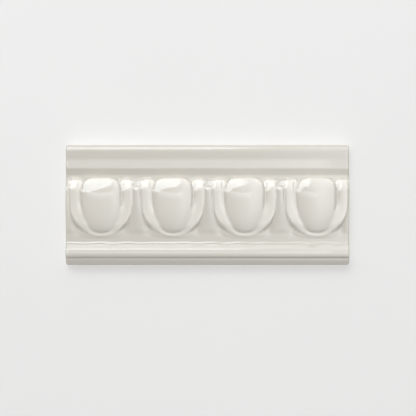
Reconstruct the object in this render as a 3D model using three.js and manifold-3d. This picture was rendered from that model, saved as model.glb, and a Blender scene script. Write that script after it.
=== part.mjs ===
// A moulded and glazed relief tile: a border strip with an egg-and-dart band between a flat
// fascia along the top and a rounded bead along the bottom. It is one pressed and fired piece.
// Millimetres. X runs along the strip, Y up its face and Z out of the wall. The origin is the
// middle of the back, which is the face that is bedded on the wall.

import * as THREE from "three";
import { mergeVertices } from "three/addons/utils/BufferGeometryUtils.js";
import Module from "manifold-3d";

const wasm = await Module();
wasm.setup();

// Overall size
const tileLength = 152;
const tileHeight = 64.4;
const cornerRadius = 1.4; // of the four upright corners, seen from the front

// Fascia: the plain band along the top
const fasciaThickness = 9; // from the back to its face
const fasciaHeight = 12.8; // from the top edge to the arris above the cove
const fasciaDip = 0.15; // it is faintly hollow
const topEdgeWidth = 2.8; // of its rounded upper edge, up the face
const topEdgeDepth = 3.6; // and down the side

// Cove between the fascia and the band
const coveWidth = 3.4;
const coveDrop = 1.4;
const ledgeWidth = 1.2;

// Band: the crown that the shells stand on, and the lower ground that shows between them
const crownRise = 1.3; // above the fascia
const crownShoulder = 7; // from the ledge up to the crown
const crownWidth = 17.3; // the level part
const crownFall = 6.1; // from the crown down to the flat above the fillet
const groundRise = 0.5; // of its highest line, above the fascia
const groundRun = 5.8; // from the foot of the cove up to that line

// Foot: the flat, the fillet, the bead, the quirk and the sloped lower edge
const flatWidth = 4.3;
const stepWidth = 0.5;
const filletRise = 0.3;
const filletWidth = 0.5;
const beadStand = 2.8; // its crown above the fascia
const beadRun = 3.2; // from the fillet to its upper shoulder
const beadTurn = 1.1; // the radius of that shoulder
const beadTurnEnd = 82; // degrees from the face's upward direction, where the shoulder ends
const beadCamber = 0.2;
const beadTop = 1.6; // from the shoulder to its crown
const beadFall = 2.6; // from its crown to the quirk below it
const beadFallTurn = 65; // degrees of the quarter round that it falls through
const quirkStand = 1.1;
const quirkWidth = 1.1;
const quirkDrop = 0.3;
const footDrop = 1.4; // of the slope below the quirk
const footEdgeRadius = 0.5;

// Egg-and-dart pattern. The run of eggs is set a little to the right of the tile's middle.
const pitch = 38.45;
const eggCount = 4;
const patternShift = 0.75;

const eggHalfWidth = 11.1;
const eggUpperHeight = 12.2; // from its centre to its top
const eggLowerHeight = 17.4;
const eggUpperPower = 3.2; // of its outline: 2 is an ellipse, more is squarer
const eggLowerPower = 2.1;
const eggBase = 1; // its edge above the fascia's face
const eggSwell = 3.5; // its crown above its edge
const eggDrop = 0.9; // how far its lower end leans back
const eggCentre = 2.6; // above the tile's middle

const shellGap = 0.5; // the line left between egg and shell
const shellHalfWidth = 17.5; // of the shell's outer outline
const shellHalfHeight = 23.6;
const shellCentre = 6.3; // where the outer outline is widest
const shellPower = 2.15;
const shellTuck = 1.6; // how far its lower flanks draw in from that outline
const shellRise = 1.3; // its crest above the crown of the band
const shellSideWidth = 6.5; // the width at which it has its full rise
const shellRoundness = 2.4; // of its outer flank: 2 is an ellipse, more is squarer
const shellCrestShare = 0.42; // how far the crest lies from the inner edge
const shellEdgeShare = 0.4; // the rise of its inner edge, as a share of the crest's
const shellLowEdgeShare = 0.9; // the same at its foot
const shellTop = 14.8; // where its two ends stop
const shellEnd = 2.2; // over which an end rounds down
const openingAtTop = 8.9; // half the width of the opening between those ends
const headFlat = 6; // of an end's top, from the line of the dart
const headRun = 4.6; // of the slope from there to the egg
const headFall = 2.9;

// Bar that joins two shells over the point of a dart, with two small eyes and a slit on each side
const barHalfWidth = 6;
const barHalfHeight = 3.6;
const barRise = 1.3;
const barRoundness = 4;
const barCentre = 11.1; // above the tile's middle
const eyeOffset = 2; // from the line of the dart
const eyeHalfWidth = 1.3;
const eyeHalfHeight = 1.6;
const eyeDepth = 0.5;
const eyeCentre = 10.5;
const slitOffset = 7.2;
const slitHalfWidth = 0.45;
const slitHalfHeight = 2.7;
const slitDepth = 0.35;

const dartTop = 7.6;
const dartBottom = -15.4;
const dartTipHalfWidth = 1.5;
const dartFootHalfWidth = 7;
const dartRise = 1.9; // at its point, above the ground
const dartFade = 0.7; // how its rise dies away: 1 is an even slope
const dartFlare = 2.4; // how late the dart spreads: 1 is an even spread

// Back
const keyCount = 5; // shallow grooves that key into the adhesive
const keyWidth = 5;
const keyDepth = 0.6;
const keyPitch = 11.6;

// How finely curves are divided
const arcSteps = 6;
const eggSides = 40;
const eggRings = 7;
const shellBends = 16; // around the foot of a shell
const shellRises = 7; // up each of its sides
const sectionSteps = 7;
const dartStations = 9;
const barSides = 20;
const barRings = 4;
const dentSides = 10;

const top = tileHeight / 2;
const bottom = -tileHeight / 2;
const face = fasciaThickness;
const sunk = 6; // how deep relief pieces run into the body, so that they fuse with it

// Solids in and out of the boolean library

function solidOf(geometry) {
  const bare = geometry.index ? geometry.toNonIndexed() : geometry;
  const points = new THREE.BufferGeometry();
  points.setAttribute("position", bare.getAttribute("position"));
  const merged = mergeVertices(points, 1e-4);
  return new wasm.Manifold(
    new wasm.Mesh({
      numProp: 3,
      vertProperties: merged.attributes.position.array,
      triVerts: new Uint32Array(merged.index.array),
    }),
  );
}

function geometryOf(solid) {
  const mesh = solid.getMesh();
  const geometry = new THREE.BufferGeometry();
  const positions = new Float32Array(mesh.vertProperties);
  geometry.setAttribute("position", new THREE.BufferAttribute(positions, 3));
  geometry.setIndex(new THREE.BufferAttribute(new Uint32Array(mesh.triVerts), 1));
  geometry.computeVertexNormals();
  return geometry;
}

// Joins rings of points, all with the same number, into a closed solid with flat ends.
function loft(rings) {
  const count = rings[0].length;
  const positions = [];
  const triangle = (a, b, c) => positions.push(...a.toArray(), ...b.toArray(), ...c.toArray());
  for (let r = 0; r + 1 < rings.length; r++) {
    for (let i = 0; i < count; i++) {
      const j = (i + 1) % count;
      triangle(rings[r][i], rings[r][j], rings[r + 1][j]);
      triangle(rings[r][i], rings[r + 1][j], rings[r + 1][i]);
    }
  }
  const cap = (ring, outward) => {
    const middle = new THREE.Vector3();
    ring.forEach((point) => middle.addScaledVector(point, 1 / count));
    for (let i = 0; i < count; i++) {
      const j = (i + 1) % count;
      if (outward) triangle(middle, ring[i], ring[j]);
      else triangle(middle, ring[j], ring[i]);
    }
  };
  cap(rings[0], false);
  cap(rings[rings.length - 1], true);
  const geometry = new THREE.BufferGeometry();
  geometry.setAttribute("position", new THREE.Float32BufferAttribute(positions, 3));
  return geometry;
}

// Extrudes an outline drawn in Y and Z along the strip, centred on the tile.
function alongStrip(outline, length) {
  const geometry = new THREE.ExtrudeGeometry(outline, {
    depth: length,
    bevelEnabled: false,
    curveSegments: arcSteps,
  });
  geometry.translate(0, 0, -length / 2);
  const toTile = new THREE.Matrix4().makeBasis(
    new THREE.Vector3(0, 1, 0),
    new THREE.Vector3(0, 0, 1),
    new THREE.Vector3(1, 0, 0),
  );
  return geometry.applyMatrix4(toTile);
}

// Section of the moulding

const arrisY = top - fasciaHeight;
const coveY = arrisY - coveWidth;
const ledgeY = coveY - ledgeWidth;
const crownY = ledgeY - crownShoulder;
const crownEndY = crownY - crownWidth;
const flatY = crownEndY - crownFall;
const stepY = flatY - flatWidth;
const filletY = stepY - stepWidth;
const beadStartY = filletY - filletWidth;
const beadY = beadStartY - beadRun;
const beadEndY = beadY - beadTop;
const quirkY = beadEndY - beadFall;
const footY = quirkY - quirkWidth;

const clamp = THREE.MathUtils.clamp;

function crownLevel(y) {
  if (y > crownY) {
    const up = clamp((y - crownY) / crownShoulder, 0, 1);
    return face + crownRise - (crownRise + coveDrop) * up * up;
  }
  const down = clamp((crownEndY - y) / crownFall, 0, 1);
  return face + crownRise * (1 + Math.cos(Math.PI * down)) * 0.5;
}

function groundLevel(y) {
  const up = clamp((y - crownY) / groundRun, 0, 1);
  const down = clamp((crownY - y) / (crownY - flatY), 0, 1);
  return face + groundRise * (1 - down) - (groundRise + coveDrop) * up;
}

function mouldingSection() {
  const quarter = Math.PI / 2;
  const radians = THREE.MathUtils.degToRad;
  const section = new THREE.Shape();
  section.moveTo(bottom, 0);
  section.lineTo(top, 0);
  section.lineTo(top, face - topEdgeDepth);
  section.absellipse(
    top - topEdgeWidth, face - topEdgeDepth, topEdgeWidth, topEdgeDepth, 0, quarter,
  );
  const fasciaMiddle = (top - topEdgeWidth + arrisY) / 2;
  section.quadraticCurveTo(fasciaMiddle, face - 2 * fasciaDip, arrisY, face);
  section.quadraticCurveTo((arrisY + coveY) / 2, face - coveDrop, coveY, face - coveDrop);
  [crownY + groundRun, crownY, flatY].forEach((y) => section.lineTo(y, groundLevel(y)));
  section.lineTo(stepY, face);
  section.lineTo(filletY, face + filletRise);
  section.lineTo(beadStartY, face + filletRise);
  const shoulderZ = face + beadStand - beadCamber - beadTurn;
  section.absellipse(beadY, shoulderZ, beadTurn, beadTurn, quarter / 2, radians(beadTurnEnd));
  const fallDepth = beadStand - quirkStand;
  const fallEnd = quarter + radians(beadFallTurn);
  section.absellipse(beadEndY, face + quirkStand, beadFall, fallDepth, quarter, fallEnd);
  section.lineTo(quirkY, face + quirkStand);
  section.lineTo(footY, face + quirkStand - quirkDrop);
  const edgeZ = face + quirkStand - quirkDrop - footDrop - footEdgeRadius;
  const r = footEdgeRadius;
  section.absellipse(bottom + r, edgeZ, r, r, quarter, Math.PI);
  section.closePath();
  return section;
}

// Egg: an oval dome, squarer above than below

function eggOutline(angle, grow) {
  const c = Math.cos(angle);
  const s = Math.sin(angle);
  const height = s > 0 ? eggUpperHeight : eggLowerHeight;
  const power = 2 / (s > 0 ? eggUpperPower : eggLowerPower);
  return new THREE.Vector2(
    (eggHalfWidth + grow) * Math.sign(c) * Math.abs(c) ** power,
    (height + grow) * Math.sign(s) * Math.abs(s) ** power,
  );
}

function eggSolid(centreX) {
  const ringAt = (share, level) => {
    const ring = [];
    for (let i = 0; i < eggSides; i++) {
      const point = eggOutline((2 * Math.PI * i) / eggSides, 0).multiplyScalar(share);
      const down = clamp(-point.y / eggLowerHeight, 0, 1);
      const z = level - eggDrop * down * down;
      ring.push(new THREE.Vector3(centreX + point.x, eggCentre + point.y, z));
    }
    return ring;
  };
  const baseZ = face + eggBase;
  const rings = [ringAt(1, baseZ - sunk)];
  for (let i = 0; i < eggRings; i++) {
    const lift = (Math.PI / 2) * (i / eggRings);
    rings.push(ringAt(Math.cos(lift), baseZ + eggSwell * Math.sin(lift)));
  }
  const crownShare = 0.05;
  rings.push(ringAt(crownShare, baseZ + eggSwell));
  return solidOf(loft(rings));
}

// Shell: the rounded rim around each egg, broad at the sides and fine at the foot

const shellEndReach = 0.8; // past the shell's top, where its rounded end is under the ground

// From 0 above the egg's middle to 1 along the lower flanks of its shell
function flankShare(y) {
  return clamp((eggCentre - y) / (eggLowerHeight - shellCentre), 0, 1);
}

// How far a point is into the rounded upper end of a shell: 1 on its outline
function headEnd(fromDart, y) {
  const slope = Math.max(0, fromDart - headFlat) / headRun;
  const most = 1.5;
  return clamp((y - shellTop + headFall * slope * slope + shellEnd) / shellEnd, 0, most);
}

// Half the width of the opening that the shell leaves for the egg, at a height above its centre
function openingHalfWidth(height) {
  const share = Math.min(1, height / (eggUpperHeight + shellGap));
  return (eggHalfWidth + shellGap) * (1 - share ** eggUpperPower) ** (1 / eggUpperPower);
}

function shellStations() {
  const stations = [];
  for (let i = 0; i < shellBends; i++) {
    const angle = -Math.PI / 2 + (Math.PI / 2) * (i / shellBends);
    const inner = eggOutline(angle, shellGap).add(new THREE.Vector2(0, eggCentre));
    const power = 2 / shellPower;
    const outer = new THREE.Vector2(
      shellHalfWidth * Math.cos(angle) ** power,
      shellCentre - shellHalfHeight * Math.abs(Math.sin(angle)) ** power,
    );
    const tuck = shellTuck * flankShare(outer.y) * clamp(outer.x / eggHalfWidth, 0, 1);
    outer.addScaledVector(inner.clone().sub(outer).normalize(), tuck);
    stations.push([inner, outer]);
  }
  for (let i = 0; i <= shellRises; i++) {
    const share = i / shellRises;
    const endY = shellTop + shellEndReach;
    const innerY = eggCentre + (endY - eggCentre) * share;
    const outerY = shellCentre + (endY - shellCentre) * share;
    const innerX = Math.max(openingHalfWidth(innerY - eggCentre), openingAtTop);
    stations.push([
      new THREE.Vector2(innerX, innerY),
      new THREE.Vector2(shellHalfWidth, outerY),
    ]);
  }
  const mirrored = stations
    .slice(1)
    .reverse()
    .map(([inner, outer]) => [
      new THREE.Vector2(-inner.x, inner.y),
      new THREE.Vector2(-outer.x, outer.y),
    ]);
  return [...mirrored, ...stations];
}

function shellLift(share, width, y) {
  const rise = shellRise * Math.sqrt(clamp(width / shellSideWidth, 0, 1));
  if (share < shellCrestShare) {
    const edgeRise = THREE.MathUtils.lerp(shellEdgeShare, shellLowEdgeShare, flankShare(y));
    const flank = (shellCrestShare - share) / shellCrestShare;
    return rise * (1 - (1 - edgeRise) * flank * flank);
  }
  const edge = (share - shellCrestShare) / (1 - shellCrestShare);
  return roundedLift(edge, rise, shellRoundness);
}

// The height of a rounded form over the crown of the band: its edge dips under the ground
function roundedLift(distance, rise, roundness) {
  const edgeSink = crownRise;
  return (rise + edgeSink) * (1 - distance ** roundness) ** (1 / roundness) - edgeSink;
}

function shellSolid(centreX) {
  const rings = shellStations().map(([inner, outer]) => {
    const width = inner.distanceTo(outer);
    const ring = [];
    for (let k = 0; k <= sectionSteps; k++) {
      const share = k / sectionSteps;
      const point = inner.clone().lerp(outer, share);
      const end = headEnd(pitch / 2 - Math.abs(point.x), point.y);
      const lift = shellLift(share, width, point.y) - shellRise * end * end;
      ring.push(new THREE.Vector3(centreX + point.x, point.y, crownLevel(point.y) + lift));
    }
    ring.push(new THREE.Vector3(centreX + outer.x, outer.y, face - sunk));
    ring.push(new THREE.Vector3(centreX + inner.x, inner.y, face - sunk));
    return ring;
  });
  return solidOf(loft(rings));
}

// Bar over the point of each dart

function barSolid(centreX) {
  const ringAt = (share, floorZ) => {
    const ring = [];
    for (let i = 0; i < barSides; i++) {
      const angle = (2 * Math.PI * i) / barSides;
      const x = barHalfWidth * share * Math.cos(angle);
      const y = barCentre + barHalfHeight * share * Math.sin(angle);
      const end = headEnd(Math.abs(x), y);
      const lift = roundedLift(share, barRise, barRoundness) - barRise * end * end;
      ring.push(new THREE.Vector3(centreX + x, y, floorZ ?? crownLevel(y) + lift));
    }
    return ring;
  };
  const rings = [ringAt(1, face - sunk)];
  for (let i = 0; i < barRings; i++) {
    rings.push(ringAt(Math.sqrt(Math.cos((Math.PI / 2) * (i / barRings)))));
  }
  const middleShare = 0.1;
  rings.push(ringAt(middleShare));
  return solidOf(loft(rings));
}

// A shallow round hollow pressed into the bar or a shell's end
function dentSolid(centreX, centreY, halfWidth, halfHeight, depth) {
  const ball = new THREE.SphereGeometry(1, dentSides, dentSides);
  ball.scale(halfWidth, halfHeight, depth);
  ball.translate(centreX, centreY, crownLevel(centreY) + barRise);
  return solidOf(ball);
}

// Dart: a tongue that spreads towards its foot

function dartSolid(centreX) {
  const edgeSink = 0.2;
  const rings = [];
  for (let i = 0; i <= dartStations; i++) {
    const share = i / dartStations;
    const y = dartTop + (dartBottom - dartTop) * share;
    const spread = (dartFootHalfWidth - dartTipHalfWidth) * share ** dartFlare;
    const half = dartTipHalfWidth + spread;
    const rise = dartRise * (1 - share) ** dartFade;
    const ring = [];
    for (let k = 0; k <= sectionSteps; k++) {
      const across = 1 - (2 * k) / sectionSteps;
      const lift = (rise + edgeSink) * (1 - across * across) - edgeSink;
      ring.push(new THREE.Vector3(centreX + across * half, y, groundLevel(y) + lift));
    }
    ring.push(new THREE.Vector3(centreX - half, y, face - sunk));
    ring.push(new THREE.Vector3(centreX + half, y, face - sunk));
    rings.push(ring);
  }
  return solidOf(loft(rings));
}

function planOutline() {
  const halfLength = tileLength / 2;
  const r = cornerRadius;
  const outline = new THREE.Shape();
  outline.moveTo(-halfLength + r, bottom);
  outline.absarc(halfLength - r, bottom + r, r, -Math.PI / 2, 0);
  outline.absarc(halfLength - r, top - r, r, 0, Math.PI / 2);
  outline.absarc(-halfLength + r, top - r, r, Math.PI / 2, Math.PI);
  outline.absarc(-halfLength + r, bottom + r, r, Math.PI, 1.5 * Math.PI);
  outline.closePath();
  const depth = face + 4 * sunk;
  const prism = new THREE.ExtrudeGeometry(outline, {
    depth,
    bevelEnabled: false,
    curveSegments: arcSteps,
  });
  prism.translate(0, 0, -sunk);
  return solidOf(prism);
}

function keyGrooves() {
  const grooves = [];
  for (let i = 0; i < keyCount; i++) {
    const groove = new THREE.BoxGeometry(tileLength + 2, keyWidth, 2 * keyDepth);
    groove.translate(0, (i - (keyCount - 1) / 2) * keyPitch, 0);
    grooves.push(solidOf(groove));
  }
  return grooves;
}

// Assembly

const reliefParts = [];
const dents = [];
const firstDart = patternShift - (eggCount / 2) * pitch;
for (let i = 0; i < eggCount; i++) {
  const eggX = firstDart + (i + 0.5) * pitch;
  reliefParts.push(eggSolid(eggX));
  reliefParts.push(shellSolid(eggX));
}
for (let i = 0; i <= eggCount; i++) {
  const dartX = firstDart + i * pitch;
  reliefParts.push(dartSolid(dartX));
  reliefParts.push(barSolid(dartX));
  [-1, 1].forEach((side) => {
    const eyeX = dartX + side * eyeOffset;
    const slitX = dartX + side * slitOffset;
    dents.push(dentSolid(eyeX, eyeCentre, eyeHalfWidth, eyeHalfHeight, eyeDepth));
    dents.push(dentSolid(slitX, eyeCentre, slitHalfWidth, slitHalfHeight, slitDepth));
  });
}
const relief = wasm.Manifold.union(reliefParts).subtract(wasm.Manifold.union(dents));
const moulding = solidOf(alongStrip(mouldingSection(), tileLength));
let tileSolid = moulding.add(relief).intersect(planOutline());
keyGrooves().forEach((groove) => {
  tileSolid = tileSolid.subtract(groove);
});

const glaze = new THREE.MeshStandardMaterial({
  color: 0xd8d4c8,
  roughness: 0.12,
  metalness: 0,
});
const tile = new THREE.Mesh(geometryOf(tileSolid), glaze);
tile.name = "relief_tile";

const part = new THREE.Group();
part.add(tile);

export default part;
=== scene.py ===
import math

import bpy
import numpy as np
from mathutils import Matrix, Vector


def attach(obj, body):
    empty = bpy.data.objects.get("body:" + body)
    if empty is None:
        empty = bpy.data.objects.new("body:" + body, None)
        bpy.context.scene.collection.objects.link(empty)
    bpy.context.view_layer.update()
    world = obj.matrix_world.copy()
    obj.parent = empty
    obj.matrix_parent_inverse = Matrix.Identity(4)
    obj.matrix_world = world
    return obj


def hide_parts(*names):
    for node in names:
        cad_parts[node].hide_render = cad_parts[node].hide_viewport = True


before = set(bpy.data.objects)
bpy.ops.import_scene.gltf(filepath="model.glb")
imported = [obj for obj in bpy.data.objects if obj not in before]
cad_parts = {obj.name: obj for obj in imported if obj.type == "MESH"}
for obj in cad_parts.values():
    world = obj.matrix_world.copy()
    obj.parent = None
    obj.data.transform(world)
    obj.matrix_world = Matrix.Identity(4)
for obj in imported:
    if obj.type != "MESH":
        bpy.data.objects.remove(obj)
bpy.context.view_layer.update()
bpy.ops.object.select_all(action="DESELECT")

MM = 0.001

# The tile's own measures, in millimetres

TILE_LENGTH = 152.0
TILE_HEIGHT = 64.4
FACE = 9.0
CORNER_RADIUS = 1.4
END_ROUNDING = 1.3
TOP = TILE_HEIGHT / 2
BOTTOM = -TILE_HEIGHT / 2

# The section, from the fascia down to the foot
TOP_EDGE = (2.8, 3.6)
FASCIA_HEIGHT = 12.8
FASCIA_DIP = 0.2
COVE_WIDTH = 3.4
COVE_DROP = 1.4
LEDGE_WIDTH = 1.2
CROWN_RISE = 1.3
CROWN_SHOULDER = 7.0
CROWN_WIDTH = 17.3
CROWN_FALL = 6.1
CROWN_CURVE = 1.6
FLOOR_RISE = 1.6
FLOOR_RUN = 5.8
FLOOR_CURVE = 1.3
FLAT_WIDTH = 4.3
STEP_WIDTH = 0.6
FILLET_RISE = 0.4
FILLET_WIDTH = 0.9
WANDER = 0.26
WANDER_REACH = 1.3
BEAD_STAND = 2.8
BEAD_RUN = 2.8
BEAD_TURN = 1.1
BEAD_CAMBER = 0.3
BEAD_TOP = 2.0
BEAD_FALL = 2.2
QUIRK_STAND = 1.3
QUIRK_WIDTH = 1.1
QUIRK_DROP = 0.3
FOOT_DROP = 1.3
FOOT_EDGE = 0.4

# How the pattern repeats along the tile
PITCH = 38.45
EGG_COUNT = 4
PATTERN_SHIFT = 0.75

# The egg
EGG_HALF_WIDTH = 11.1
EGG_UPPER = 12.0
EGG_LOWER = 17.7
EGG_UPPER_POWER = 3.5
EGG_LOWER_POWER = 2.3
EGG_BASE = 1.0
EGG_SWELL = 3.5
EGG_DROP = 0.9
EGG_CENTRE = 2.6
EGG_SKIRT = 600.0

# The shell around an egg; a pair gives where a change starts and how far it runs
SHELL_GAP = 0.5
SHELL_HALF_WIDTH = 17.5
SHELL_HALF_HEIGHT = 23.9
SHELL_CENTRE = 6.3
SHELL_POWER = 3.0
SHELL_RISE = 1.3
SHELL_LOW = (-4.0, 11.0)
SHELL_LOW_EASE = (5.0, 11.0)
SHELL_LOW_DRAW = 0.2
SHELL_PLATEAU = 0.45
SHELL_FOOT = 0.45
SHELL_LOW_FOOT = 0.9
SHELL_SIDE_WIDTH = 6.5
SHELL_CREST = 3.2
SHELL_LOW_CREST = 1.0
SHELL_TOP = 14.8
SHELL_END = 2.2
HEAD_SHOULDER = (6.0, 4.6, 2.9)
HEAD_DIP = (4.6, 1.5)

# The bar over a dart and what is sunk into it; each has half width, half height and depth
ARCH = (5.6, 3.8, 1.3)
ARCH_CENTRE = 11.1
ARCH_ROUNDNESS = 3.2
ARCH_SINK = 1.4
ARCH_SKIRT = 30.0
BOWL = (3.6, 3.4, 1.4)
BOWL_CENTRE = 11.2
EYE_OFFSET = 1.9
EYE = (0.6, 0.8, 0.3)
EYE_CENTRE = 10.5
SLIT_OFFSET = 7.2
SLIT = (0.5, 2.4, 0.5)
SLIT_CENTRE = 10.5

# The dart and the hollows beside its foot
DART_TOP = 9.5
DART_BOTTOM = -15.4
DART_TIP = 2.4
DART_FOOT = 7.0
DART_RISE = 1.5
DART_FADE = 0.5
DART_FLARE = 2.4
DART_RUN_OUT = 3.0
HOLLOW = (2.5, 3.0, 0.7)
HOLLOW_OFFSET = 6.6
HOLLOW_CENTRE = -12.2

# The grooves along the back
BACK_BEVEL = 0.4
BACK_STEP = 3.0
KEY_COUNT = 5
KEY_WIDTH = 5.0
KEY_DEPTH = 0.6
KEY_PITCH = 11.6

# How far the glaze fills the creases where forms meet
GLAZE_FILLET = 0.8
SHELL_FILLET = 0.7
DART_FILLET = 0.6
FLOOR_FILLET = 0.9
COVE_FILLET = 0.05

# How much paler the glaze is on sharp forms, on high ones and on the rims, and darker in the
# hollows: partly the glaze breaking thin and pooling, partly painted light on the high forms
# and painted shade in the hollows, creases and the cove
GLAZE_BREAK_AND_SHADE_ON_EDGES = 0.45
GLAZE_BREAK_AND_LIGHT_ON_RELIEF = 0.28
GLAZE_BREAK_AND_LIGHT_ON_RIMS = 0.2

GRID_SPACING = 0.37

# Levels of the section, from the top of the tile down

ARRIS_Y = TOP - FASCIA_HEIGHT
COVE_Y = ARRIS_Y - COVE_WIDTH
LEDGE_Y = COVE_Y - LEDGE_WIDTH
CROWN_Y = LEDGE_Y - CROWN_SHOULDER
CROWN_END_Y = CROWN_Y - CROWN_WIDTH
FLAT_Y = CROWN_END_Y - CROWN_FALL
STEP_Y = FLAT_Y - FLAT_WIDTH
FILLET_Y = STEP_Y - STEP_WIDTH
BEAD_START_Y = FILLET_Y - FILLET_WIDTH
BEAD_Y = BEAD_START_Y - BEAD_RUN
BEAD_END_Y = BEAD_Y - BEAD_TOP
QUIRK_Y = BEAD_END_Y - BEAD_FALL
FOOT_Y = QUIRK_Y - QUIRK_WIDTH


# Section of the moulding

def crown_level(y):
    """The swelling line that the shells ride on, above the fascia's face."""
    up = np.clip((y - CROWN_Y) / CROWN_SHOULDER, 0, 1)
    down = np.clip((CROWN_END_Y - y) / CROWN_FALL, 0, 1)
    shoulder = (CROWN_RISE + COVE_DROP) * (1 - up**CROWN_CURVE) - COVE_DROP
    fall = CROWN_RISE * (1 + np.cos(np.pi * down)) * 0.5
    return np.where(y > CROWN_Y, shoulder, fall)


def floor_level(y):
    """The sunk floor between the shells, from the cove's bottom down to the flat."""
    up = np.clip((y - CROWN_Y) / FLOOR_RUN, 0, 1)
    down = np.clip((CROWN_Y - y) / (CROWN_Y - FLAT_Y), 0, 1)
    swell = FLOOR_RISE * (1 + np.cos(np.pi * down**FLOOR_CURVE)) / 2
    return swell - (FLOOR_RISE + COVE_DROP) * up * up * (3 - 2 * up)


def arc(centre_y, centre_z, width, thinness_and_light_node, start, end, count=14):
    """Points of an elliptical arc, with its angles in degrees from the +Y side."""
    angles = np.radians(np.linspace(start, end, count))
    return [(centre_y + width * math.cos(a), centre_z + thinness_and_light_node * math.sin(a)) for a in angles]


def section_outline():
    """The front of the tile from its top edge down to its bottom edge."""
    edge_width, edge_depth = TOP_EDGE
    foot_z = QUIRK_STAND - QUIRK_DROP - FOOT_DROP
    points = arc(TOP - edge_width, -edge_depth, edge_width, edge_depth, 0, 90)
    points += [((TOP - edge_width + ARRIS_Y) / 2, -FASCIA_DIP), (ARRIS_Y, 0)]
    points += [(COVE_Y, -COVE_DROP)]
    points += [(y, float(floor_level(y)))
               for y in np.linspace(CROWN_Y + FLOOR_RUN, FLAT_Y, 60)]
    points += [(STEP_Y, 0), (FILLET_Y, FILLET_RISE), (BEAD_START_Y, FILLET_RISE)]
    points += arc(BEAD_Y, BEAD_STAND - BEAD_CAMBER - BEAD_TURN, BEAD_TURN, BEAD_TURN, 45, 82)
    points += arc(BEAD_END_Y, QUIRK_STAND, BEAD_FALL, BEAD_STAND - QUIRK_STAND, 90, 150)
    points += [(QUIRK_Y, QUIRK_STAND), (FOOT_Y, QUIRK_STAND - QUIRK_DROP)]
    points += arc(BOTTOM + FOOT_EDGE, foot_z - FOOT_EDGE, FOOT_EDGE, FOOT_EDGE, 100, 180)
    return np.array(points)


def soften(values, times):
    """Rounds a run of points as the glaze rounds the clay's creases; its ends stay."""
    for _ in range(times):
        values[1:-1] = (values[:-2] + 2 * values[1:-1] + values[2:]) / 4
    return values


def section_rows(spacing):
    """The outline at even steps, wider over the plain fascia and finer at the creases."""
    outline = section_outline()
    steps = np.hypot(*np.diff(outline, axis=0).T)
    run = np.concatenate([[0], np.cumsum(steps)])
    fine = np.linspace(0, run[-1], 2400)
    dense = np.stack([np.interp(fine, run, outline[:, k]) for k in (0, 1)], axis=1)
    dense = soften(dense, 45)
    y = dense[:, 0]
    closeness = np.where((y > ARRIS_Y + 0.6) & (y < TOP - TOP_EDGE[0]), 0.45, 1.0)
    for crease in (LEDGE_Y, (STEP_Y + BEAD_START_Y) / 2):
        closeness = np.where(np.abs(y - crease) < 0.9, 2.4, closeness)
    share = np.concatenate([[0], np.cumsum((closeness[1:] + closeness[:-1]) / 2)])
    share *= (fine[1] - fine[0]) / spacing
    chosen = np.linspace(0, share[-1], int(share[-1]) + 1)
    return np.stack([np.interp(chosen, share, dense[:, k]) for k in (0, 1)], axis=1)


# Relief of the band

def merge_forms(a, b, fillet):
    """The higher of two forms, with a soft fillet of glaze where they meet."""
    near = np.clip(1 - np.abs(a - b) / fillet, 0, 1)
    return np.maximum(a, b) + near**2 * fillet / 4


def dome(distance, edge, rise, roundness, skirt_slope):
    """A dome over distances from 0 at its middle to 1 at its edge, with a steep skirt."""
    inside = np.clip(1 - distance**roundness, 0, 1) ** (1 / roundness)
    skirt = skirt_slope * np.clip(distance - 1, 0, 4)
    return edge + rise * inside - skirt


def egg_distance(x, y, grow):
    """How far a point is from the egg's axis: 1 on its outline, or outside it by grow."""
    up = y - EGG_CENTRE
    thinness_and_light_node = np.where(up > 0, EGG_UPPER, EGG_LOWER) + grow
    across = np.abs(x) / (EGG_HALF_WIDTH + grow)
    along = np.abs(up) / thinness_and_light_node
    oval = np.hypot(across, along)
    square = np.clip(oval, 0, 1) ** 2
    power = 2 + (np.where(up > 0, EGG_UPPER_POWER, EGG_LOWER_POWER) - 2) * square
    return (across**power + along**power + 1e-9) ** (1 / power)


def egg_level(x, y):
    """The egg: a dome that leans back toward its lower end."""
    fall = np.clip((EGG_CENTRE - y) / EGG_LOWER, 0, 1.2) ** 2
    return dome(egg_distance(x, y, 0.0), EGG_BASE, EGG_SWELL, 2.0, EGG_SKIRT) - EGG_DROP * fall


def shell_distance(x, y):
    """The same for the outer outline of the shell, whose sides rise straight."""
    down = np.clip(SHELL_CENTRE - y, 0, None) / SHELL_HALF_HEIGHT
    across = np.abs(x) / SHELL_HALF_WIDTH
    return (across**SHELL_POWER + down**SHELL_POWER + 1e-9) ** (1 / SHELL_POWER)


def clearance(measure, x, y):
    """The distance in millimetres from the outline on which a measure is 1."""
    step = 0.05
    slope_x = (measure(x + step, y) - measure(x - step, y)) / (2 * step)
    slope_y = (measure(x, y + step) - measure(x, y - step)) / (2 * step)
    return (measure(x, y) - 1) / np.clip(np.hypot(slope_x, slope_y), 1e-3, None)


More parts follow.
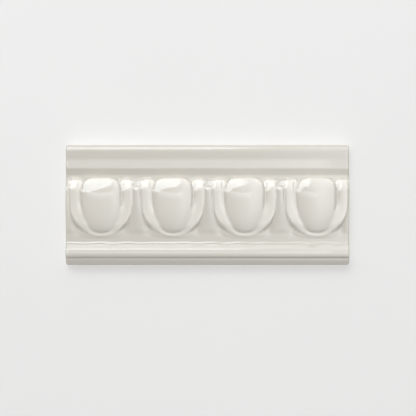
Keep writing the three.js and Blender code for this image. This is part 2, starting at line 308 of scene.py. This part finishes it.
def shell_level(x, y):
    """The rim around an egg: a crest near the egg and a flank that runs out to the floor."""
    inner = clearance(lambda u, v: egg_distance(u, v, SHELL_GAP), x, y)
    low = np.clip((SHELL_LOW[0] - y) / SHELL_LOW[1], 0, 1)
    outer = -clearance(shell_distance, x, y)
    width = np.clip(inner + outer, 1.2, None)
    rise = SHELL_RISE * np.sqrt(np.clip(width / SHELL_SIDE_WIDTH, 0, 1))
    crest = np.minimum(SHELL_CREST + (SHELL_LOW_CREST - SHELL_CREST) * low, width * 0.6)
    flank = np.clip((crest - inner) / crest, 0, 2)
    eased = np.clip((SHELL_LOW_EASE[0] - y) / SHELL_LOW_EASE[1], 0, 1)
    foot = SHELL_FOOT + (SHELL_LOW_FOOT - SHELL_FOOT) * eased * eased * (3 - 2 * eased)
    inside = crown_level(y) + rise * (1 - (1 - foot) * flank**2)
    plateau = SHELL_PLATEAU * (1 - low)
    edge = np.clip((inner - crest) / (width - crest), 0, None)
    fall = np.clip((edge - plateau) / (1 - plateau), 0, 1)
    stand = crown_level(y) + rise - floor_level(y)
    beyond = 2.0 * np.clip(edge - 1, 0, 2)
    fall = fall ** (1 - SHELL_LOW_DRAW * low)
    outside = floor_level(y) + stand * (1 + np.cos(np.pi * fall)) / 2 - beyond
    across = np.where(inner < crest, inside, outside)
    return across - rise * head_end(x, y) ** 2


def head_end(x, y):
    """How far a point is into the rounded upper end of a shell; 1 on its outline."""
    start, run, fall = HEAD_SHOULDER
    from_dart = PITCH / 2 - np.abs(x)
    top = SHELL_TOP - fall * (np.clip(from_dart - start, 0, None) / run) ** 2
    dip_width, dip = HEAD_DIP
    top = top - dip * np.clip(1 - from_dart / dip_width, 0, 1) ** 2
    return np.clip((y - top + SHELL_END) / SHELL_END, 0, 3)


def arch_level(x, y):
    """The bar that joins two shells over a dart's point, flush with their tops."""
    half_width, half_height, rise = ARCH
    distance = np.hypot(x / half_width, (y - ARCH_CENTRE) / half_height)
    across = dome(distance, -ARCH_SINK, rise + ARCH_SINK, ARCH_ROUNDNESS, ARCH_SKIRT)
    return crown_level(y) + across - rise * head_end(PITCH / 2 - np.abs(x), y) ** 2


def dent(x, y, centre_y, size):
    """A soft dent, given by its half width, half height and depth."""
    half_width, half_height, depth = size
    return depth * np.exp(-(x / half_width) ** 2 - ((y - centre_y) / half_height) ** 2)


def dart_level(x, y):
    """The dart between two shells: narrow under the bar, wide and low at its foot."""
    share = np.clip((DART_TOP - y) / (DART_TOP - DART_BOTTOM), 0, 1)
    half = DART_TIP + (DART_FOOT - DART_TIP) * share**DART_FLARE
    rise = DART_RISE * (1 - share) ** DART_FADE
    lift = rise * (1 - np.clip(np.abs(x) / half, 0, 2) ** 2)
    above = np.clip(y - DART_TOP, 0, None)
    below = np.clip(DART_BOTTOM + DART_RUN_OUT - y, 0, None)
    return floor_level(y) + lift - 3 * above - below**2 / 10


def from_egg(x):
    """How far a point is along the tile from the axis of its nearest egg."""
    first = PATTERN_SHIFT - EGG_COUNT / 2 * PITCH
    return np.mod(x - first, PITCH) - PITCH / 2


def from_dart(x):
    """The same from the axis of the nearest dart."""
    first = PATTERN_SHIFT - EGG_COUNT / 2 * PITCH
    return np.mod(x - first + PITCH / 2, PITCH) - PITCH / 2


def relief_level(x, y, floor):
    """How high the relief stands over the floor of the band, at every point of the face."""
    to_egg, to_dart = from_egg(x), from_dart(x)
    level = merge_forms(egg_level(to_egg, y), shell_level(to_egg, y), SHELL_FILLET)
    level = merge_forms(level, arch_level(to_dart, y), GLAZE_FILLET)
    bowl = np.clip(np.hypot(to_dart / BOWL[0], (y - BOWL_CENTRE) / BOWL[1]), 0, 1)
    level = level - BOWL[2] * (1 + np.cos(np.pi * bowl)) / 2
    for side in (-1, 1):
        level = level - dent(to_dart + side * EYE_OFFSET, y, EYE_CENTRE, EYE)
        level = level - dent(to_dart + side * SLIT_OFFSET, y, SLIT_CENTRE, SLIT)
    level = merge_forms(level, dart_level(to_dart, y), DART_FILLET)
    fillet = np.where(y > CROWN_Y, COVE_FILLET, FLOOR_FILLET)
    lifted = merge_forms(floor, level, fillet) - floor
    for side in (-1, 1):
        lifted = lifted - dent(to_dart + side * HOLLOW_OFFSET, y, HOLLOW_CENTRE, HOLLOW)
    in_band = (y < COVE_Y) & (y > STEP_Y)
    return np.where(in_band, lifted, 0.0)


# The tile: one skin over the face, brought down the sides and closed at the back

def face_columns(spacing):
    """Places along the length, close together where the ends turn down, and the drop there."""
    turns = np.radians(np.linspace(0, 90, 7))
    inset = END_ROUNDING * (1 - np.cos(turns))
    drop = END_ROUNDING * (1 - np.sin(turns))
    half = TILE_LENGTH / 2
    count = int((TILE_LENGTH - 2 * END_ROUNDING) / spacing)
    middle = np.linspace(-half + END_ROUNDING, half - END_ROUNDING, count)[1:-1]
    places = np.concatenate([-half + inset, middle, half - inset[::-1]])
    drops = np.concatenate([drop, np.zeros(len(middle)), drop[::-1]])
    return places, drops


def round_corners(x, y):
    """Draws the four corners of the outline in to their radius."""
    u = np.clip((np.abs(x) - TILE_LENGTH / 2 + CORNER_RADIUS) / CORNER_RADIUS, 0, 1)
    v = np.clip((np.abs(y) - TILE_HEIGHT / 2 + CORNER_RADIUS) / CORNER_RADIUS, 0, 1)
    inner_x = np.minimum(np.abs(x), TILE_LENGTH / 2 - CORNER_RADIUS)
    inner_y = np.minimum(np.abs(y), TILE_HEIGHT / 2 - CORNER_RADIUS)
    x_round = inner_x + CORNER_RADIUS * u * np.sqrt(1 - v * v / 2)
    y_round = inner_y + CORNER_RADIUS * v * np.sqrt(1 - u * u / 2)
    return np.sign(x) * x_round, np.sign(y) * y_round


def rim_share(x, y, floor):
    """From 0 to 1 where a rim stands clear of its egg and of the floor."""
    stand = shell_level(from_egg(x), y) - np.maximum(egg_level(from_egg(x), y), floor)
    return np.where((y < COVE_Y) & (y > STEP_Y), np.clip(stand / 0.9, 0, 1), 0)


def local_mean(grid, reach, axis):
    """Each value's mean with those up to a reach away along one axis."""
    total = np.zeros_like(grid)
    for step in range(-reach, reach + 1):
        places = np.clip(np.arange(grid.shape[axis]) + step, 0, grid.shape[axis] - 1)
        total += np.take(grid, places, axis=axis)
    return total / (2 * reach + 1)


def wander(x):
    """How far the fillet strays up or down along the tile."""
    return WANDER * np.sin(x / 2.4 + 0.6) * (0.6 + 0.4 * np.sin(x / 9.0 + 1.0))


def face_skin():
    """The glazed face: a fine grid laid over the section and the relief."""
    rows = section_rows(GRID_SPACING)
    places, drops = face_columns(GRID_SPACING)
    bpy.ops.mesh.primitive_grid_add(
        x_subdivisions=len(places) - 1, y_subdivisions=len(rows) - 1, size=2)
    tile = bpy.context.object
    tile.name = tile.data.name = "glazed_tile"
    count = len(tile.data.vertices)
    flat = np.empty(count * 3)
    tile.data.vertices.foreach_get("co", flat)
    flat = flat.reshape(-1, 3)
    column = np.rint((flat[:, 0] + 1) / 2 * (len(places) - 1)).astype(int)
    row = np.rint((1 - flat[:, 1]) / 2 * (len(rows) - 1)).astype(int)
    x = places[column]
    y = rows[row, 0]
    relief = relief_level(x, y, rows[row, 1])
    z = FACE + rows[row, 1] + relief - drops[column]
    near_fillet = np.exp(-((y - FILLET_Y) / WANDER_REACH) ** 2)
    x, y = round_corners(x, y + wander(x) * near_fillet)
    tile.data.vertices.foreach_set("co", (np.stack([x, y, z], axis=1) * MM).ravel())
    grid = np.zeros((len(rows), len(places)))
    grid[row, column] = z
    # Paler on ridges, high relief and rims and darker in hollows: partly glaze breaking thin
    # and pooling, partly painted light and painted shade
    stand = grid - local_mean(local_mean(grid, 4, 0), 4, 1)
    share = np.clip(0.5 + stand / 1.2, 0, 1)[row, column] * GLAZE_BREAK_AND_SHADE_ON_EDGES
    share += np.clip(relief / 3.0, 0, 1) * GLAZE_BREAK_AND_LIGHT_ON_RELIEF
    share += rim_share(x, y, rows[row, 1]) * GLAZE_BREAK_AND_LIGHT_ON_RIMS
    thinness_and_painted_light = tile.data.attributes.new("glaze_thinness_and_painted_light", "FLOAT", "POINT")
    thinness_and_painted_light.data.foreach_set("value", share.astype(np.float32))
    tile.data.update()
    return tile


def flatten_selection(level):
    """Brings all that is selected to one height, in millimetres."""
    bpy.ops.transform.resize(value=(1, 1, 0), center_override=(0, 0, level * MM))


def close_back(tile):
    """Brings the border down to the back, with a small bevel, and closes it."""
    bpy.ops.object.mode_set(mode="EDIT")
    bpy.ops.mesh.select_mode(type="EDGE")
    bpy.ops.mesh.select_all(action="DESELECT")
    bpy.ops.mesh.select_non_manifold(extend=False, use_wire=False, use_multi_face=False,
                                     use_non_contiguous=False, use_verts=False)
    for level in (BACK_STEP, BACK_BEVEL):
        bpy.ops.mesh.extrude_edges_move()
        flatten_selection(level)
    bpy.ops.mesh.extrude_edges_move()
    flatten_selection(0)
    bpy.ops.transform.resize(
        value=(1 - 2 * BACK_BEVEL / TILE_LENGTH, 1 - 2 * BACK_BEVEL / TILE_HEIGHT, 1),
        center_override=(0, 0, 0))
    bpy.ops.mesh.edge_face_add()
    bpy.ops.mesh.select_all(action="SELECT")
    bpy.ops.mesh.normals_make_consistent(inside=False)
    bpy.ops.object.mode_set(mode="OBJECT")


def cut_key_grooves(tile):
    """The shallow grooves along the back that key into the adhesive."""
    bpy.ops.object.select_all(action="DESELECT")
    for i in range(KEY_COUNT):
        place = (0, (i - (KEY_COUNT - 1) / 2) * KEY_PITCH * MM, 0)
        bpy.ops.mesh.primitive_cube_add(size=2, location=place)
        groove = bpy.context.object
        bpy.ops.object.mode_set(mode="EDIT")
        bpy.ops.transform.resize(value=(TILE_LENGTH * MM, KEY_WIDTH / 2 * MM, KEY_DEPTH * MM))
        bpy.ops.object.mode_set(mode="OBJECT")
        groove.select_set(True)
        bpy.context.view_layer.objects.active = tile
        cut = tile.modifiers.new("groove", "BOOLEAN")
        cut.operation = "DIFFERENCE"
        cut.object = groove
        bpy.ops.object.modifier_apply(modifier="groove")
        bpy.data.objects.remove(groove)
    bpy.ops.object.select_all(action="DESELECT")
    tile.select_set(True)


tile = face_skin()
close_back(tile)
cut_key_grooves(tile)
bpy.ops.object.shade_smooth_by_angle(angle=math.radians(60))

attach(tile, "root")
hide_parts("relief_tile")


# Materials

# Glaze tones from pooled to thin: the deep one also carries painted shade, the pale one
# painted light
GLAZE_POOLED_AND_SHADED = (0.60, 0.572, 0.515, 1)
GLAZE_THIN_AND_LIT = (0.88, 0.848, 0.782, 1)
GLAZE_CLOUD = (0.60, 0.55, 0.46, 1)
GLAZE_ROUGHNESS = 0.06
CLAY_DARK = (0.70, 0.64, 0.55, 1)
CLAY_LIGHT = (0.80, 0.75, 0.66, 1)
CLAY_ROUGHNESS = 0.85
FLOOR_DARK = (0.82, 0.82, 0.815, 1)
FLOOR_LIGHT = (0.85, 0.85, 0.845, 1)
WINDOW_TINT = (0.90, 0.95, 1.0, 1)


def new_material(name):
    material = bpy.data.materials.new(name)
    material.use_nodes = True
    return material, material.node_tree.nodes, material.node_tree.links


def noise(nodes, links, place, scale, detail):
    """Cloudy noise fixed to the object; scale is in repeats to the metre."""
    texture = nodes.new("ShaderNodeTexNoise")
    texture.inputs["Scale"].default_value = scale
    texture.inputs["Detail"].default_value = detail
    links.new(place.outputs["Object"], texture.inputs["Vector"])
    return texture


def map_range(nodes, links, source, span, result):
    """Turns a span of values smoothly into another."""
    ramp = nodes.new("ShaderNodeMapRange")
    ramp.interpolation_type = "SMOOTHSTEP"
    ramp.inputs["From Min"].default_value = span[0]
    ramp.inputs["From Max"].default_value = span[1]
    ramp.inputs["To Min"].default_value = result[0]
    ramp.inputs["To Max"].default_value = result[1]
    links.new(source, ramp.inputs["Value"])
    return ramp.outputs["Result"]


def mix_colours(nodes, links, share, first, second):
    """Two colours, given or from a node, mixed by a share."""
    mix = nodes.new("ShaderNodeMix")
    mix.data_type = "RGBA"
    links.new(share, mix.inputs["Factor"])
    for socket, colour in ((mix.inputs["A"], first), (mix.inputs["B"], second)):
        if isinstance(colour, tuple):
            socket.default_value = colour
        else:
            links.new(colour, socket)
    return mix.outputs["Result"]


def glaze_material():
    """Off-white glaze, paler where it runs thin over the relief and darker where it pools,
    with painted light on the high forms and painted shade in the hollows; bare clay at the
    back.
    """
    material, nodes, links = new_material("off_white_glaze")
    shader = nodes["Principled BSDF"]
    shader.inputs["IOR"].default_value = 1.52
    place = nodes.new("ShaderNodeTexCoord")
    thinness_and_light_node = nodes.new("ShaderNodeAttribute")
    thinness_and_light_node.attribute_name = "glaze_thinness_and_painted_light"
    thinness_and_painted_light = map_range(nodes, links, thinness_and_light_node.outputs["Fac"], (0.0, 1.0), (0.0, 1.0))
    tone = mix_colours(nodes, links, thinness_and_painted_light, GLAZE_POOLED_AND_SHADED, GLAZE_THIN_AND_LIT)
    clouds = noise(nodes, links, place, 28.0, 3.0)
    cloudy = map_range(nodes, links, clouds.outputs["Fac"], (0.3, 0.7), (0.0, 0.03))
    tone = mix_colours(nodes, links, cloudy, tone, GLAZE_CLOUD)
    axes = nodes.new("ShaderNodeSeparateXYZ")
    links.new(place.outputs["Object"], axes.inputs["Vector"])
    ragged = noise(nodes, links, place, 180.0, 2.0)
    level = nodes.new("ShaderNodeMath")
    level.operation = "MULTIPLY_ADD"
    level.inputs[1].default_value = -0.0012
    links.new(ragged.outputs["Fac"], level.inputs[0])
    links.new(axes.outputs["Z"], level.inputs[2])
    bare = map_range(nodes, links, level.outputs[0], (0.0009, 0.0012), (1.0, 0.0))
    grain = noise(nodes, links, place, 900.0, 4.0)
    clay = mix_colours(nodes, links, grain.outputs["Fac"], CLAY_DARK, CLAY_LIGHT)
    colour = mix_colours(nodes, links, bare, tone, clay)
    links.new(colour, shader.inputs["Base Color"])
    rough = map_range(nodes, links, bare, (0, 1), (GLAZE_ROUGHNESS, CLAY_ROUGHNESS))
    links.new(rough, shader.inputs["Roughness"])
    waves = noise(nodes, links, place, 60.0, 1.0)
    bump = nodes.new("ShaderNodeBump")
    bump.inputs["Strength"].default_value = 0.35
    bump.inputs["Distance"].default_value = 0.0003
    links.new(waves.outputs["Fac"], bump.inputs["Height"])
    links.new(bump.outputs["Normal"], shader.inputs["Normal"])
    return material


tile.data.materials.clear()
tile.data.materials.append(glaze_material())


# Floor, lights and camera

def floor_material():
    material, nodes, links = new_material("pale_floor")
    shader = nodes["Principled BSDF"]
    shader.inputs["Roughness"].default_value = 0.9
    place = nodes.new("ShaderNodeTexCoord")
    clouds = noise(nodes, links, place, 6.0, 3.0)
    tone = mix_colours(nodes, links, clouds.outputs["Fac"], FLOOR_DARK, FLOOR_LIGHT)
    links.new(tone, shader.inputs["Base Color"])
    return material


bpy.ops.mesh.primitive_plane_add(size=3.0, location=(0, 0, 0))
floor = bpy.context.object
floor.name = "floor"
floor.data.materials.append(floor_material())


def reflected_panel(name, outline, thinness_and_light_node, brightness, fade_x, fade_y):
    """A level bright panel that only shows in the glaze, as a window does in a room."""
    bpy.ops.mesh.primitive_circle_add(vertices=len(outline), radius=1, fill_type="NGON")
    panel = bpy.context.object
    panel.name = name
    for corner, (x, y) in zip(panel.data.vertices, outline):
        corner.co = (x, y, thinness_and_light_node)
    material, nodes, links = new_material(name + "_light")
    nodes.remove(nodes["Principled BSDF"])
    glow = nodes.new("ShaderNodeEmission")
    clear = nodes.new("ShaderNodeBsdfTransparent")
    both = nodes.new("ShaderNodeAddShader")
    links.new(glow.outputs["Emission"], both.inputs[0])
    links.new(clear.outputs["BSDF"], both.inputs[1])
    links.new(both.outputs["Shader"], nodes["Material Output"].inputs["Surface"])
    place = nodes.new("ShaderNodeTexCoord")
    axes = nodes.new("ShaderNodeSeparateXYZ")
    links.new(place.outputs["Object"], axes.inputs["Vector"])
    across = map_range(nodes, links, axes.outputs["X"], fade_x, (0.0, brightness))
    up = map_range(nodes, links, axes.outputs["Y"], fade_y, (0.0, 1.0))
    shown = nodes.new("ShaderNodeMath")
    shown.operation = "MULTIPLY"
    links.new(across, shown.inputs[0])
    links.new(up, shown.inputs[1])
    links.new(shown.outputs[0], glow.inputs["Strength"])
    glow.inputs["Color"].default_value = WINDOW_TINT
    panel.data.materials.append(material)
    panel.visible_camera = False
    panel.visible_diffuse = False
    panel.visible_shadow = False
    panel.visible_transmission = False


def soft_light(name, place, size, brightness, shadows):
    """A square softbox that faces the tile and lights it, but leaves no reflection."""
    bpy.ops.object.light_add(type="AREA", location=place)
    lamp = bpy.context.object
    lamp.name = name
    lamp.data.size = size
    lamp.data.energy = brightness * math.pi * size * size
    lamp.rotation_euler = Vector(place).to_track_quat("Z", "Y").to_euler()
    lamp.visible_glossy = False
    lamp.data.use_shadow = shadows


# Outlines of the bright panels, in metres. A fade that lies beyond a panel leaves it even
KEY_OUTLINE = [
    (-0.948, 0.083), (-0.6, 0.068), (-0.336, 0.056), (-0.193, 0.071), (-0.124, 0.098),
    (-0.077, 0.126), (-0.047, 0.141), (-0.007, 0.16), (0.02, 0.19), (0.045, 0.25),
    (0.06, 0.40), (0.055, 0.8), (0.05, 1.2), (-1.3, 1.2), (-1.3, 0.085)]
FILL_OUTLINE = [(-0.15, -0.6), (0.55, -0.6), (0.55, 1.2), (-0.15, 1.2)]
FAR_OUTLINE = [(-2.0, 1.2), (2.0, 1.2), (2.0, 4.0), (-2.0, 4.0)]
HALO_OUTLINE = [(-0.3, 0.0), (0.09, 0.0), (0.09, 0.075), (-0.3, 0.075)]
EVEN = (-9.0, -8.0)
reflected_panel("key_window", KEY_OUTLINE, 0.35, 5.6, (0.065, 0.01), EVEN)
reflected_panel("key_halo", HALO_OUTLINE, 0.355, 2.4, EVEN, (0.0, 0.075))
reflected_panel("far_window", FAR_OUTLINE, 0.35, 2.8, EVEN, (0.9, 1.2))
reflected_panel("fill_window", FILL_OUTLINE, 0.36, 2.0, (0.02, 0.14), (-0.25, 0.1))
reflected_panel("side_glow", FILL_OUTLINE, 0.365, 1.5, (-0.13, 0.12), EVEN)
soft_light("key_softbox", (-0.9, 1.9, 3.7), 1.9, 2.8, True)
soft_light("even_softbox", (0.1, 2.16, 3.78), 2.7, 4.7, False)

world = bpy.data.worlds.new("studio")
world.use_nodes = True
world.node_tree.nodes["Background"].inputs["Color"].default_value = (1, 0.995, 0.985, 1)
world.node_tree.nodes["Background"].inputs["Strength"].default_value = 0.35
bpy.context.scene.world = world
bpy.context.scene.view_settings.view_transform = "Standard"

# The photograph is 416 pixels wide and shows 1.866 of them to a millimetre of the face
IMAGE_PIXELS = 416
SENSOR_WIDTH = 36.0
PIXELS_PER_MM = 1.866
CAMERA_HEIGHT = 1.0
TILE_ABOVE_CENTRE = 3.2 / PIXELS_PER_MM * MM
TILE_LEFT_OF_CENTRE = 0.5 / PIXELS_PER_MM * MM

bpy.ops.object.camera_add(
    location=(TILE_LEFT_OF_CENTRE, -TILE_ABOVE_CENTRE, CAMERA_HEIGHT + FACE * MM),
    rotation=(0, 0, 0))
camera = bpy.context.object
camera.name = "photo_camera"
camera.data.sensor_width = SENSOR_WIDTH
camera.data.lens = SENSOR_WIDTH * CAMERA_HEIGHT / (IMAGE_PIXELS / PIXELS_PER_MM * MM)
bpy.context.scene.camera = camera
